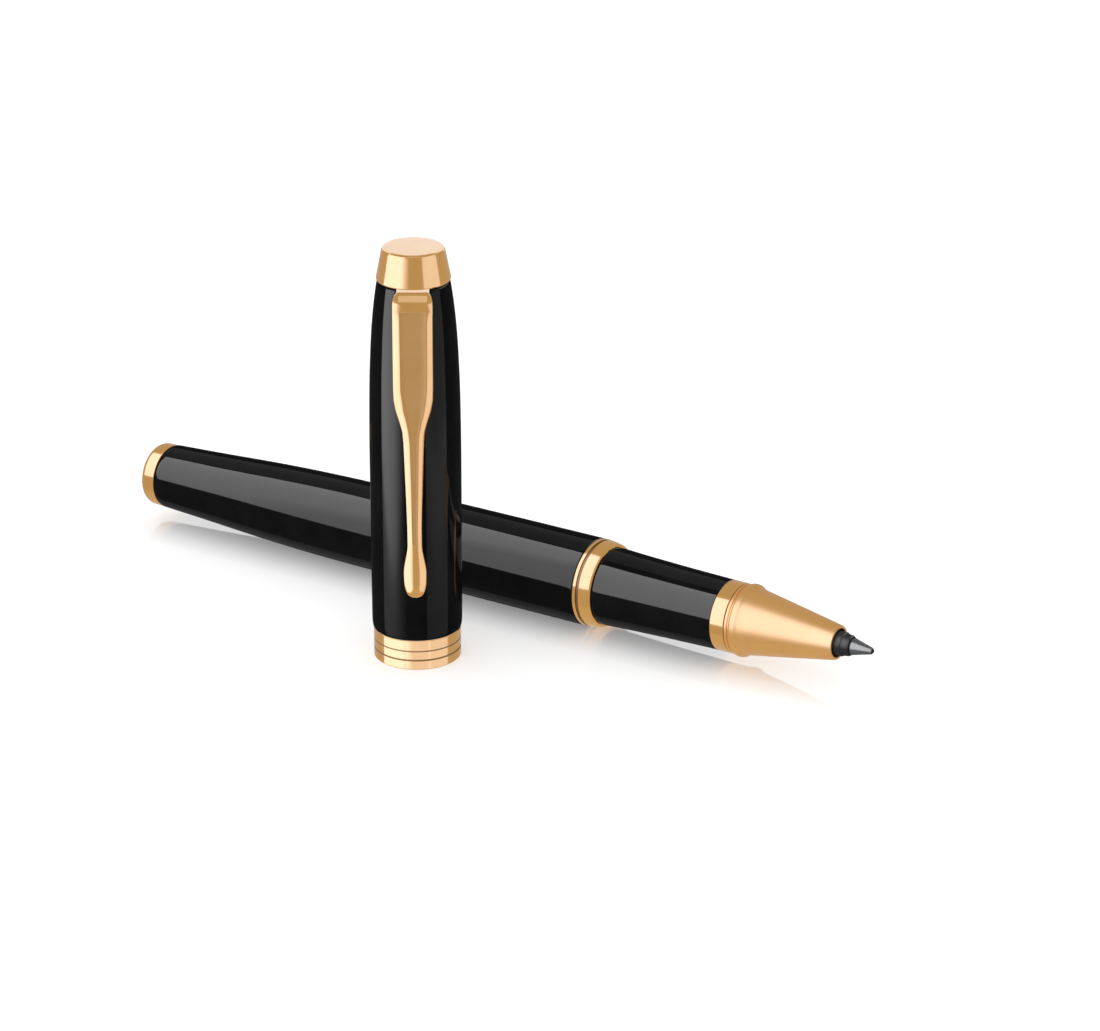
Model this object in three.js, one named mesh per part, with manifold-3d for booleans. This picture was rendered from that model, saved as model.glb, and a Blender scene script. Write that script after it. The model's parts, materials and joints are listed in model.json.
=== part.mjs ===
// Capped rollerball pen, taken apart into its separate pieces.
// The pen body lies along +X on the ground plane z = 0 with its writing tip at
// the +X end. The cap stands on its mouth beside it with the clip facing outward.
// Millimetres, +Z up, origin at the middle of the footprint.

import * as THREE from 'three';
import Module from 'manifold-3d';
import { mergeVertices } from 'three/addons/utils/BufferGeometryUtils.js';

// ---------------------------------------------------------------- dimensions
const GAP = 0.3;               // clearance left between neighbouring pieces

// placing
const DATUM_X = 15.75;         // x of the pen's datum (near the trim ring)
const PEN_Y = 12.02;           // y of the pen's axis
const BARREL_R = 6.31;         // largest radius, so also the height of the axis
const CAP_X = 0.81;            // x of the cap's axis
const CAP_Y = -10.22;          // y of the cap's axis
const CLIP_TURN = -57.2;       // degrees, direction that the clip faces

// stations along the pen, measured from the datum towards the tip
const S_END = -76.95;          // rear face
const S_END_RING = -74.55;     // front edge of the end cap's visible rim
const S_BARREL_REAR = -74.25;
const S_BARREL_FRONT = 0.15;
const S_RING_REAR = 0.45;      // trim ring
const S_RING_FRONT = 3.1;
const S_GRIP_REAR = 3.4;       // section grip
const S_GRIP_FRONT = 21.9;
const S_FRONT_RING_REAR = 22.2;
const S_FRONT_RING_FRONT = 24.2;
const S_CONE_REAR = 24.5;      // bead at the back of the nose cone
const S_CONE_FRONT = 40.0;     // opening that the refill comes out of
const S_TIP_BASE = 42.25;      // base of the steel tip
const S_TIP = 45.45;           // front of the writing ball

const WALL = 0.6;              // barrel wall
const END_R = 4.68;            // end cap
const INSERT_R = 5.3;          // barrel thread insert, outside
const THREAD_BORE_R = 4.75;    // barrel thread insert, inside
const SLEEVE_R = 4.35;         // section thread sleeve, over the thread
const REFILL_BORE_R = 3.45;    // clear bore through the section
const REFILL_R = 3.0;          // refill tube
const BALL_R = 0.35;           // 0.7 mm writing ball

// cap
const CAP_H = 60.0;
const BAND_R = 6.07;           // band at the mouth
const BAND_H = 4.25;
const MOUTH_R = 5.75;          // clear radius at the mouth
const SHELL_WALL = 0.42;
const SHELL_BOTTOM = BAND_H + GAP;
const SHELL_TOP = 55.2;
const FINIAL_BOTTOM = 55.6;
const FINIAL_R0 = 5.12;
const FINIAL_R1 = 4.34;
const CLIP_W = 5.4;            // clip width at the top
const CLIP_BOTTOM = 11.3;      // lower end of the clip

// facets round each kind of piece
const N_OUT = 32;
const N_IN = 24;
const N_SMALL = 16;

// ------------------------------------------------------------------ helpers
const wasm = await Module();
wasm.setup();

// Makes every face point out, whichever way the profile was drawn.
function outward(geometry) {
  const g = geometry.index ? geometry : mergeVertices(geometry);
  const p = g.attributes.position;
  const idx = g.index.array;
  let v = 0;
  const a = new THREE.Vector3(), b = new THREE.Vector3(), c = new THREE.Vector3();
  for (let i = 0; i < idx.length; i += 3) {
    a.fromBufferAttribute(p, idx[i]);
    b.fromBufferAttribute(p, idx[i + 1]);
    c.fromBufferAttribute(p, idx[i + 2]);
    v += a.dot(b.cross(c));
  }
  if (v < 0) {
    for (let i = 0; i < idx.length; i += 3) {
      const t = idx[i + 1];
      idx[i + 1] = idx[i + 2];
      idx[i + 2] = t;
    }
  }
  g.deleteAttribute('normal');
  g.computeVertexNormals();
  return g;
}

// Leaves only merged positions, with triangles that have shrunk to a line taken out.
function welded(geometry) {
  const g0 = geometry.clone();
  g0.deleteAttribute('normal');
  g0.deleteAttribute('uv');
  const g = mergeVertices(g0, 1e-4);
  const keep = [];
  const idx = g.index.array;
  for (let i = 0; i < idx.length; i += 3) {
    if (idx[i] !== idx[i + 1] && idx[i + 1] !== idx[i + 2] && idx[i] !== idx[i + 2]) {
      keep.push(idx[i], idx[i + 1], idx[i + 2]);
    }
  }
  g.setIndex(keep);
  return g;
}

// A turned piece about the Y axis. The profile is a list of [station, radius],
// and is closed on itself, or starts and ends on the axis.
function turned(profile, facets) {
  const pts = profile.map(([s, r]) => new THREE.Vector2(r, s));
  const onAxis = profile[0][1] === 0 && profile[profile.length - 1][1] === 0;
  if (!onAxis) pts.push(pts[0].clone());
  return outward(welded(new THREE.LatheGeometry(pts, facets)));
}

function solid(geometry) {
  const g = welded(geometry);
  return new wasm.Manifold(new wasm.Mesh({
    numProp: 3,
    vertProperties: new Float32Array(g.attributes.position.array),
    triVerts: new Uint32Array(g.index.array),
  }));
}

function fromSolid(m) {
  const mesh = m.getMesh();
  const g = new THREE.BufferGeometry();
  const np = mesh.numProp;
  const n = mesh.vertProperties.length / np;
  const pos = new Float32Array(n * 3);
  for (let i = 0; i < n; i++) {
    for (let k = 0; k < 3; k++) pos[3 * i + k] = mesh.vertProperties[np * i + k];
  }
  g.setAttribute('position', new THREE.BufferAttribute(pos, 3));
  g.setIndex(new THREE.BufferAttribute(new Uint32Array(mesh.triVerts), 1));
  g.computeVertexNormals();
  return g;
}

function outlineShape(points) {
  return new THREE.Shape(points.map(([x, y]) => new THREE.Vector2(x, y)));
}

const finish = (color, roughness, metalness) => ({ color, roughness, metalness });
const BLACK_LACQUER = finish(0x0b0b0d, 0.08, 0.0);
const GOLD = finish(0xe2b468, 0.16, 1.0);
const SATIN_GOLD = finish(0xdcaa62, 0.36, 1.0);
const BRASS = finish(0xc8a04c, 0.35, 1.0);
const STEEL = finish(0xb9bbc0, 0.25, 1.0);
const BLACK_PLASTIC = finish(0x141415, 0.4, 0.0);
const CLEAR_GREY_PLASTIC = finish(0x55585c, 0.35, 0.0);
const RUBBER = finish(0x101010, 0.8, 0.0);
const FIBRE = finish(0x20242c, 0.95, 0.0);
const CARBIDE = finish(0x6b6d72, 0.2, 1.0);

function piece(name, geometry, look) {
  const mesh = new THREE.Mesh(geometry, new THREE.MeshStandardMaterial(look));
  mesh.name = name;
  return mesh;
}

// ---------------------------------------------------------------- pen body
const pen = new THREE.Group();
pen.position.set(DATUM_X, PEN_Y, BARREL_R);
pen.rotation.z = -Math.PI / 2;          // the turning axis Y becomes +X

// Barrel shell: long, gently swelling tube.
const barrelOuter = [
  [S_BARREL_REAR, 4.62], [-73.95, 4.76], [-70.0, 4.94], [-66.0, 5.15], [-60.5, 5.47],
  [-55.0, 5.76], [-48.0, 6.02], [-40.0, 6.18], [-25.0, 6.27], [-12.0, BARREL_R],
  [-0.1, BARREL_R], [S_BARREL_FRONT, 6.21],
];
const barrelInner = [
  [S_BARREL_FRONT, 5.65], [-16.0, 5.65], [-40.0, 6.18 - WALL], [-55.0, 5.76 - WALL],
  [-66.0, 5.15 - WALL], [S_BARREL_REAR, 4.05],
];
pen.add(piece('barrel_shell', turned([...barrelOuter, ...barrelInner], N_OUT), BLACK_LACQUER));

// End cap: turned rim with a spigot that is pressed into the barrel.
pen.add(piece('barrel_end_cap', turned([
  [S_END, 0], [S_END, 3.8], [-76.8, 4.34], [-76.45, 4.6], [-76.05, END_R],
  [-74.7, END_R], [S_END_RING, 4.6], [S_END_RING, 3.7], [-71.3, 3.7], [-71.0, 3.4], [-71.0, 0],
], N_OUT), GOLD));

// Threaded insert in the barrel's mouth.
pen.add(piece('barrel_thread_insert', turned([
  [-14.5, THREAD_BORE_R + 0.15], [-14.5, INSERT_R], [-0.5, INSERT_R], [-0.5, THREAD_BORE_R + 0.15],
  [-0.7, THREAD_BORE_R], [-14.3, THREAD_BORE_R],
], N_IN), BRASS));

// Spring between the end cap and the refill's tail.
class Coil extends THREE.Curve {
  constructor(radius, from, to, turns) {
    super();
    Object.assign(this, { radius, from, to, turns });
  }
  getPoint(t, target = new THREE.Vector3()) {
    const a = t * this.turns * 2 * Math.PI;
    return target.set(this.radius * Math.cos(a), this.from + (this.to - this.from) * t, this.radius * Math.sin(a));
  }
}
const WIRE_R = 0.22;
const COIL_TURNS = 5;
const wire = [];
for (let i = 0; i < 6; i++) wire.push([WIRE_R * Math.cos(i * Math.PI / 3), WIRE_R * Math.sin(i * Math.PI / 3)]);
pen.add(piece('refill_spring', outward(welded(new THREE.ExtrudeGeometry(outlineShape(wire), {
  steps: COIL_TURNS * 12,
  bevelEnabled: false,
  extrudePath: new Coil(2.35, -70.4, -63.6, COIL_TURNS),
}))), STEEL));

// Trim ring between barrel and section: a lip, one groove, then a band that tapers down to the grip.
pen.add(piece('trim_ring', turned([
  [S_RING_REAR, 5.7], [S_RING_REAR, 6.22], [0.55, 6.29], [0.92, 6.29], [1.0, 6.1], [1.35, 6.1],
  [1.43, 6.27], [2.2, 6.17], [2.85, 5.99], [S_RING_FRONT, 5.84], [S_RING_FRONT, 4.75], [0.8, 4.75], [0.8, 5.7],
], N_OUT), GOLD));

// Rubber ring that stops the thread working loose.
const oRing = [];
for (let i = 0; i < 8; i++) oRing.push([0.15 + 0.35 * Math.cos(i * Math.PI / 4), 5.0 + 0.35 * Math.sin(i * Math.PI / 4)]);
pen.add(piece('section_o_ring', turned(oRing, N_IN), RUBBER));

// Threaded sleeve of the section.
pen.add(piece('section_thread_sleeve', turned([
  [-12.5, 3.5], [-12.5, 4.05], [-12.2, SLEEVE_R], [7.0, SLEEVE_R], [7.0, 3.5],
], N_IN), BRASS));

// Grip of the section.
pen.add(piece('section_grip', turned([
  [S_GRIP_REAR, 4.7], [S_GRIP_REAR, 5.53], [3.55, 5.59], [6.0, 5.47], [10.0, 5.32],
  [15.0, 5.17], [S_GRIP_FRONT - 0.15, 5.02], [S_GRIP_FRONT, 4.95], [S_GRIP_FRONT, 4.35],
  [13.9, 4.35], [13.9, 3.5], [7.3, 3.5], [7.3, 4.7],
], N_OUT), BLACK_LACQUER));

// Polished ring in front of the grip.
pen.add(piece('section_front_ring', turned([
  [S_FRONT_RING_REAR, 4.35], [S_FRONT_RING_REAR, 4.96], [22.3, 5.03], [24.1, 5.0],
  [S_FRONT_RING_FRONT, 4.92], [S_FRONT_RING_FRONT, 4.35],
], N_OUT), GOLD));

// Nose cone with its raised bead and the spigot that screws into the grip.
pen.add(piece('nose_cone', turned([
  [14.2, REFILL_BORE_R], [14.2, 4.0], [S_CONE_REAR, 4.0], [S_CONE_REAR, 4.95], [24.6, 5.02],
  [24.85, 5.02], [24.9, 4.87], [25.1, 4.87], [25.18, 5.1], [25.45, 5.2], [25.85, 5.19], [26.2, 5.05],
  [26.5, 4.77], [33.0, 3.66], [39.6, 2.5], [39.9, 2.4], [S_CONE_FRONT, 2.26], [S_CONE_FRONT, 2.05],
  [36.6, 2.05], [29.0, 3.3], [26.0, REFILL_BORE_R],
], N_OUT), SATIN_GOLD));

// Refill: tube, tail plug, fibre ink reservoir, feed, nose, steel tip and ball.
pen.add(piece('refill_tube', turned([
  [-60.0, 2.5], [-60.0, REFILL_R], [24.7, REFILL_R], [24.7, 2.5],
], N_SMALL), CLEAR_GREY_PLASTIC));
pen.add(piece('refill_tail_plug', turned([
  [-66.0, 0], [-66.0, 1.3], [-65.6, 1.6], [-63.0, 1.6], [-63.0, 2.85], [-60.3, REFILL_R],
  [-60.3, 2.15], [-58.6, 2.15], [-58.6, 0],
], N_SMALL), BLACK_PLASTIC));
pen.add(piece('ink_reservoir', turned([
  [-58.0, 0], [-58.0, 2.15], [15.4, 2.15], [15.4, 0],
], N_SMALL), FIBRE));
pen.add(piece('refill_feed', turned([
  [15.8, 0], [15.8, 0.55], [41.0, 0.55], [41.0, 0],
], 12), FIBRE));
pen.add(piece('refill_nose', turned([
  [19.0, 0.95], [19.0, 2.15], [25.0, 2.15], [25.0, 2.95], [28.2, 2.75], [35.8, 1.75],
  [40.9, 1.72], [41.05, 1.55], [41.8, 1.48], [41.95, 1.34], [41.95, 0.95],
], N_SMALL), BLACK_PLASTIC));
pen.add(piece('refill_tip', turned([
  [41.3, 0], [41.3, 0.62], [S_TIP_BASE, 0.62], [S_TIP_BASE, 1.12], [42.4, 1.18], [43.5, 0.88],
  [45.2, 0.47], [45.2, 0.41], [44.65, 0.41], [44.65, 0],
], N_SMALL), STEEL));
const ball = piece('writing_ball', outward(welded(new THREE.SphereGeometry(BALL_R, 12, 8))), CARBIDE);
ball.position.y = S_TIP - BALL_R;
pen.add(ball);

// --------------------------------------------------------------------- cap
const cap = new THREE.Group();
cap.position.set(CAP_X, CAP_Y, 0);
cap.rotation.z = THREE.MathUtils.degToRad(CLIP_TURN);   // +X of this group is where the clip faces

const upright = (mesh) => {
  mesh.rotation.x = Math.PI / 2;        // the turning axis Y becomes +Z
  return mesh;
};

// Band round the mouth, with two fine grooves.
cap.add(upright(piece('cap_band', turned([
  [0, MOUTH_R], [0, 5.97], [0.14, BAND_R], [1.25, BAND_R], [1.3, BAND_R - 0.14], [1.5, BAND_R - 0.14],
  [1.55, BAND_R], [2.6, BAND_R], [2.65, BAND_R - 0.14], [2.85, BAND_R - 0.14], [2.9, BAND_R],
  [BAND_H - 0.1, BAND_R], [BAND_H, BAND_R - 0.1], [BAND_H, MOUTH_R],
], N_OUT), GOLD)));

// Cap shell: tube with an inner web near the top that the finial is drawn down on.
const shellOuter = [
  [SHELL_BOTTOM, 6.12], [4.75, 6.22], [5.3, 6.27], [8.4, 6.29], [20.0, 6.31], [30.0, 6.32], [35.0, 6.29],
  [40.7, 6.19], [43.6, 6.08], [46.5, 5.94], [49.4, 5.73], [52.3, 5.43], [54.0, 5.2], [SHELL_TOP, 5.0],
];
const WEB_Z0 = 52.6;
const WEB_Z1 = 53.9;
const shellBody = turned([
  ...shellOuter,
  [SHELL_TOP, 4.45], [WEB_Z1, 4.45], [WEB_Z1, 1.9], [WEB_Z0, 1.9], [WEB_Z0, 4.9],
  [49.4, 5.73 - SHELL_WALL], [43.6, 6.08 - SHELL_WALL], [35.0, 6.29 - SHELL_WALL],
  [20.0, 6.31 - SHELL_WALL], [SHELL_BOTTOM, 5.86],
], N_OUT);
shellBody.rotateX(Math.PI / 2);
// notch in the rim that the clip's tab passes through
const notch = new THREE.BoxGeometry(4.0, 5.2, 2.0);
notch.translate(5.6, 0, WEB_Z1 + 1.0);
cap.add(piece('cap_shell', fromSolid(solid(shellBody).subtract(solid(notch))), BLACK_LACQUER));

// Inner cap that seals the tip, with the ridge that snaps behind the section's bead.
cap.add(upright(piece('cap_liner', turned([
  [12.0, 5.28], [12.0, 5.55], [34.0, 5.55], [42.0, 5.2], [47.6, 4.75], [47.6, 0.8], [46.6, 0.8],
  [46.6, 4.45], [42.0, 4.9], [34.0, 5.25], [24.3, 5.28], [24.0, 4.98], [23.5, 4.98], [23.2, 5.28],
], N_IN), BLACK_PLASTIC)));

// Finial with a blind hole for its stud.
cap.add(upright(piece('cap_finial', turned([
  [CAP_H, 0], [CAP_H, 3.85], [59.9, 4.12], [59.65, FINIAL_R1], [55.8, FINIAL_R0], [FINIAL_BOTTOM, 5.04],
  [FINIAL_BOTTOM, 1.85], [58.3, 1.85], [58.3, 0],
], N_OUT), GOLD)));
cap.add(upright(piece('finial_stud', turned([
  [49.4, 0], [49.4, 1.3], [49.6, 1.5], [57.8, 1.5], [58.0, 1.3], [58.0, 0],
], N_SMALL), STEEL)));
cap.add(upright(piece('finial_nut', turned([
  [50.3, 1.82], [50.3, 3.3], [WEB_Z0 - GAP, 3.3], [WEB_Z0 - GAP, 1.82],
], 6), BRASS)));

// Clip: a side profile (radius, height) cut to a tapering front outline.
const clipSide = [
  [4.9, 55.3], [5.35, 55.3], [5.95, 55.05], [6.5, 54.5], [6.9, 53.75], [7.2, 52.6], [7.45, 51.0], [7.75, 47.0],
  [7.95, 41.0], [8.02, 34.0], [8.02, 28.0], [7.95, 20.0], [7.85, 16.2], [7.72, 13.7], [7.4, 12.0],
  [6.95, CLIP_BOTTOM], [6.78, 11.9], [6.68, 13.2], [6.68, 15.7], [6.85, 18.5], [7.0, 24.0], [7.05, 34.0],
  [6.95, 42.0], [6.65, 48.0], [6.3, 52.0], [5.95, 53.3], [5.6, 54.0], [5.3, 54.25], [4.9, 54.25],
];
const clipHalf = [
  [CLIP_W / 2 - 0.45, 55.35], [CLIP_W / 2 - 0.15, 55.15], [CLIP_W / 2, 54.75], [CLIP_W / 2, 41.2],
  [2.62, 40.0], [2.28, 38.5], [1.86, 37.2], [1.54, 36.0], [1.42, 34.5], [1.26, 30.0], [1.1, 25.0], [1.0, 21.2], [0.98, 19.2],
  [1.12, 17.9], [1.4, 16.5], [1.55, 15.1], [1.52, 13.7], [1.3, 12.4], [0.85, 11.55], [0.3, 11.25],
];
const mirrored = [...clipHalf, ...clipHalf.slice().reverse().map(([x, z]) => [-x, z])];
const sideG = new THREE.ExtrudeGeometry(outlineShape(clipSide), { depth: 8, bevelEnabled: false });
sideG.translate(0, 0, -4);
sideG.rotateX(Math.PI / 2);             // (radius, height, across) -> (radius, -across, height)
const frontG = new THREE.ExtrudeGeometry(outlineShape(mirrored), { depth: 6, bevelEnabled: false });
frontG.rotateX(Math.PI / 2);            // (across, height, depth) -> (across, -depth, height)
frontG.rotateZ(-Math.PI / 2);           // -> (-depth, -across, height)
frontG.translate(10, 0, 0);
const tab = new THREE.BoxGeometry(4.0, 4.4, 0.9);
tab.translate(4.1, 0, 54.7);
// long tapering recess sunk into the clip's face
const recessHalf = [[1.75, 52.6], [1.75, 42.0], [1.35, 39.0], [0.85, 37.0], [0.6, 35.0], [0.5, 30.0], [0.45, 24.0], [0.4, 19.5]];
const recessOutline = [...recessHalf, ...recessHalf.slice().reverse().map(([x, z]) => [-x, z])];
const recessG = new THREE.ExtrudeGeometry(outlineShape(recessOutline), { depth: 2, bevelEnabled: false });
recessG.rotateX(Math.PI / 2);
recessG.rotateZ(-Math.PI / 2);
recessG.translate(8.0, 0, 0);
const recessSide = outlineShape([
  [6.9, 52.8], [7.2, 51.0], [7.5, 47.0], [7.7, 41.0], [7.77, 34.0], [7.77, 28.0], [7.7, 19.0], [9.5, 19.0], [9.5, 52.8],
]);
const recessSideG = new THREE.ExtrudeGeometry(recessSide, { depth: 8, bevelEnabled: false });
recessSideG.translate(0, 0, -4);
recessSideG.rotateX(Math.PI / 2);
recessG.translate(1.6, 0, 0);
const clipSolid = solid(outward(sideG)).intersect(solid(outward(frontG)))
  .subtract(solid(outward(recessG)).intersect(solid(outward(recessSideG))))
  .add(solid(tab));
cap.add(piece('clip', fromSolid(clipSolid), GOLD));

const rollerballPen = new THREE.Group();
rollerballPen.add(pen, cap);
rollerballPen.updateMatrixWorld(true);

export default rollerballPen;
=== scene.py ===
import json
import math

import bmesh
import bpy
from mathutils import Matrix, Vector

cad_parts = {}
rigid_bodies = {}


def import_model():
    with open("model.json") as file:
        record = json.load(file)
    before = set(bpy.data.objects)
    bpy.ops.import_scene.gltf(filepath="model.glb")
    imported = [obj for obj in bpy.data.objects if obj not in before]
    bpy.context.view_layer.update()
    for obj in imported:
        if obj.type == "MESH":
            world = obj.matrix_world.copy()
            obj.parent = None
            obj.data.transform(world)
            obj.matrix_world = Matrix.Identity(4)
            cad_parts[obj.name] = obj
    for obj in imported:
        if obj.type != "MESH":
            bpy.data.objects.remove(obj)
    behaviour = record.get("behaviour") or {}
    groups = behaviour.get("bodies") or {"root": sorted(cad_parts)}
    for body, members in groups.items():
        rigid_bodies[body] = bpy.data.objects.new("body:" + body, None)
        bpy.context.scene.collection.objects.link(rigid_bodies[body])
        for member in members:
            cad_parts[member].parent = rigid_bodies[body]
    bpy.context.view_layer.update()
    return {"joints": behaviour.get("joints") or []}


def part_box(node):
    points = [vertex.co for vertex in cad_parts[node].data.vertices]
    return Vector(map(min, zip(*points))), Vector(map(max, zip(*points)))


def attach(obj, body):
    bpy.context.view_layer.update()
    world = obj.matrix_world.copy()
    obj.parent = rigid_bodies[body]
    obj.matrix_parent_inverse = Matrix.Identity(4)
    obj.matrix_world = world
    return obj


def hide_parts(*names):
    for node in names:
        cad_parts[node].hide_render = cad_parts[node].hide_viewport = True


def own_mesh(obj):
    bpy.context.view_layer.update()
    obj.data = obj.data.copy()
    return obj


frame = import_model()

MM = 0.001

# ------------------------------------------------------------------ places
_lo, _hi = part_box("barrel_shell")
_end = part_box("barrel_end_cap")[0]
AXIS_Y, AXIS_Z = (_lo.y + _hi.y) / 2, (_lo.z + _hi.z) / 2
DATUM_X = _end.x + 76.95 * MM
_lo, _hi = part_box("cap_band")
CAP = Vector(((_lo.x + _hi.x) / 2, (_lo.y + _hi.y) / 2, 0.0))
_axis = next(j for j in frame["joints"] if j["name"] == "clip_flex")["axis"]
CLIP_DIR = Vector((-_axis[1], _axis[0], 0.0)).normalized()      # the way the clip faces

# pen: lathe (station, radius) -> +X;  cap: lathe (height, radius) -> +Z, angle 0 at the clip
PEN_M = Matrix.Translation((DATUM_X, AXIS_Y, AXIS_Z)) @ Matrix(((0, 0, 1, 0), (-1, 0, 0, 0), (0, -1, 0, 0), (0, 0, 0, 1)))
_t = Vector((-CLIP_DIR.y, CLIP_DIR.x, 0))
CAP_M = Matrix(((CLIP_DIR.x, _t.x, 0, CAP.x), (CLIP_DIR.y, _t.y, 0, CAP.y), (0, 0, 1, 0), (0, 0, 0, 1)))


# ----------------------------------------------------------- profile tools
def pchip(pts, n):
    """Smooth monotone curve through (s, r) points, n samples per span."""
    x = [p[0] for p in pts]
    y = [p[1] for p in pts]
    k = len(pts)
    h = [x[i + 1] - x[i] for i in range(k - 1)]
    d = [(y[i + 1] - y[i]) / h[i] for i in range(k - 1)]
    m = [0.0] * k
    for i in range(1, k - 1):
        if d[i - 1] * d[i] > 0:
            w1, w2 = 2 * h[i] + h[i - 1], h[i] + 2 * h[i - 1]
            m[i] = (w1 + w2) / (w1 / d[i - 1] + w2 / d[i])
    m[0], m[-1] = d[0], d[-1]
    out = []
    for i in range(k - 1):
        for j in range(n):
            t = j / n
            a = 2 * t**3 - 3 * t**2 + 1
            b = t**3 - 2 * t**2 + t
            c = -2 * t**3 + 3 * t**2
            e = t**3 - t**2
            out.append((x[i] + t * h[i], a * y[i] + b * h[i] * m[i] + c * y[i + 1] + e * h[i] * m[i + 1]))
    out.append((x[-1], y[-1]))
    return out


def rounded(pts, closed=True, arc=5):
    """Profile with corners rounded: each point is (s, r) or (s, r, fillet radius)."""
    n = len(pts)
    out = []
    for i, p in enumerate(pts):
        f = p[2] if len(p) > 2 else 0.0
        if f <= 0 or (not closed and i in (0, n - 1)):
            out.append((p[0], p[1]))
            continue
        a, b, c = Vector(pts[i - 1][:2]), Vector(p[:2]), Vector(pts[(i + 1) % n][:2])
        u, v = (a - b), (c - b)
        lu, lv = u.length, v.length
        u.normalize()
        v.normalize()
        ang = u.angle(v)
        if ang > math.pi - 0.02:
            out.append((b.x, b.y))
            continue
        t = min(f / math.tan(ang / 2), 0.48 * lu, 0.48 * lv)
        rad = t * math.tan(ang / 2)
        centre = b + (u + v).normalized() * (rad / math.sin(ang / 2))
        p0, p1 = b + u * t, b + v * t
        a0 = math.atan2(p0.y - centre.y, p0.x - centre.x)
        a1 = math.atan2(p1.y - centre.y, p1.x - centre.x)
        da = (a1 - a0 + math.pi) % (2 * math.pi) - math.pi
        # a support point on each straight side keeps the flat face's shading flat
        s = min(0.04, 0.3 * t)
        if lu - t > 4 * s:
            q = p0 + u * s
            out.append((q.x, q.y))
        for k in range(arc + 1):
            w = a0 + da * k / arc
            out.append((centre.x + rad * math.cos(w), centre.y + rad * math.sin(w)))
        if lv - t > 4 * s:
            q = p1 + v * s
            out.append((q.x, q.y))
    return out


def mesh_object(name, verts, faces, matrix, smooth_deg=30.0):
    me = bpy.data.meshes.new(name)
    me.from_pydata([tuple(matrix @ Vector(v)) for v in verts], [], faces)
    bm = bmesh.new()
    bm.from_mesh(me)
    bmesh.ops.remove_doubles(bm, verts=bm.verts, dist=1e-8)
    bmesh.ops.dissolve_degenerate(bm, edges=bm.edges, dist=1e-9)
    bmesh.ops.recalc_face_normals(bm, faces=bm.faces)
    if bm.calc_volume(signed=True) < 0:
        bmesh.ops.reverse_faces(bm, faces=bm.faces)
    for f in bm.faces:
        f.smooth = True
    bm.to_mesh(me)
    bm.free()
    me.set_sharp_from_angle(angle=math.radians(smooth_deg))
    ob = bpy.data.objects.new(name, me)
    bpy.context.scene.collection.objects.link(ob)
    return ob


def turned(name, profile, matrix, segs=128, smooth_deg=30.0, radius_at=None):
    """Closed profile of (s, r) in mm turned about the local Z axis. radius_at(s, r, angle) may change a radius."""
    verts, rings = [], []
    for s, r in profile:
        if r <= 1e-9:
            rings.append([len(verts)])
            verts.append((0, 0, s * MM))
            continue
        ring = []
        for k in range(segs):
            a = 2 * math.pi * k / segs
            rr = radius_at(s, r, a) if radius_at else r
            ring.append(len(verts))
            verts.append((rr * MM * math.cos(a), rr * MM * math.sin(a), s * MM))
        rings.append(ring)
    faces = []
    n = len(rings)
    open_ends = len(rings[0]) == 1 and len(rings[-1]) == 1
    for i in range(n - 1 if open_ends else n):
        a, b = rings[i], rings[(i + 1) % n]
        for k in range(segs):
            k2 = (k + 1) % segs
            if len(a) == 1 and len(b) == 1:
                continue
            if len(a) == 1:
                faces.append((a[0], b[k], b[k2]))
            elif len(b) == 1:
                faces.append((a[k], b[0], a[k2]))
            else:
                faces.append((a[k], b[k], b[k2], a[k2]))
    return mesh_object(name, verts, faces, matrix, smooth_deg)


def finish_piece(ob, body, nodes, material):
    ob.data.materials.clear()
    ob.data.materials.append(material)
    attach(ob, body)
    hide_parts(*nodes)
    return ob


def paint_groove_shade(ob, matrix, material, spans, r_lo, r_hi):
    """Give the faces of a turned groove a darker material, painted shade in the groove; spans are stations in mm along
    the turning axis.
    """
    inv = matrix.inverted()
    ob.data.materials.append(material)
    for p in ob.data.polygons:
        q = inv @ p.center
        if r_lo < math.hypot(q.x, q.y) / MM < r_hi and any(a < q.z / MM < b for a, b in spans):
            p.material_index = 1


# ---------------------------------------------------------------- materials
def new_material(name, base, rough, metal, ior=1.5, spec=0.5):
    m = bpy.data.materials.new(name)
    m.use_nodes = True
    nt = m.node_tree
    b = nt.nodes["Principled BSDF"]
    b.inputs["Base Color"].default_value = (*base, 1)
    b.inputs["Roughness"].default_value = rough
    b.inputs["Metallic"].default_value = metal
    b.inputs["IOR"].default_value = ior
    b.inputs["Specular IOR Level"].default_value = spec
    return m, nt, b


def noise(nt, scale, detail=3.0, rough=0.5, stretch=(1, 1, 1), location=(0, 0, 0)):
    tc = nt.nodes.new("ShaderNodeTexCoord")
    mp = nt.nodes.new("ShaderNodeMapping")
    mp.inputs["Scale"].default_value = stretch
    mp.inputs["Location"].default_value = location
    tx = nt.nodes.new("ShaderNodeTexNoise")
    tx.inputs["Scale"].default_value = scale
    tx.inputs["Detail"].default_value = detail
    tx.inputs["Roughness"].default_value = rough
    nt.links.new(tc.outputs["Object"], mp.inputs["Vector"])
    nt.links.new(mp.outputs["Vector"], tx.inputs["Vector"])
    return tx


def ramp_to(nt, src, lo, hi, a=0.3, b=0.7):
    mr = nt.nodes.new("ShaderNodeMapRange")
    mr.inputs["From Min"].default_value = a
    mr.inputs["From Max"].default_value = b
    mr.inputs["To Min"].default_value = lo
    mr.inputs["To Max"].default_value = hi
    nt.links.new(src, mr.inputs["Value"])
    return mr.outputs["Result"]


def colour_mix(nt, src, c0, c1, a=0.35, b=0.65):
    cr = nt.nodes.new("ShaderNodeValToRGB")
    cr.color_ramp.elements[0].position = a
    cr.color_ramp.elements[1].position = b
    cr.color_ramp.elements[0].color = (*c0, 1)
    cr.color_ramp.elements[1].color = (*c1, 1)
    nt.links.new(src, cr.inputs["Fac"])
    return cr.outputs["Color"]


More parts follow.
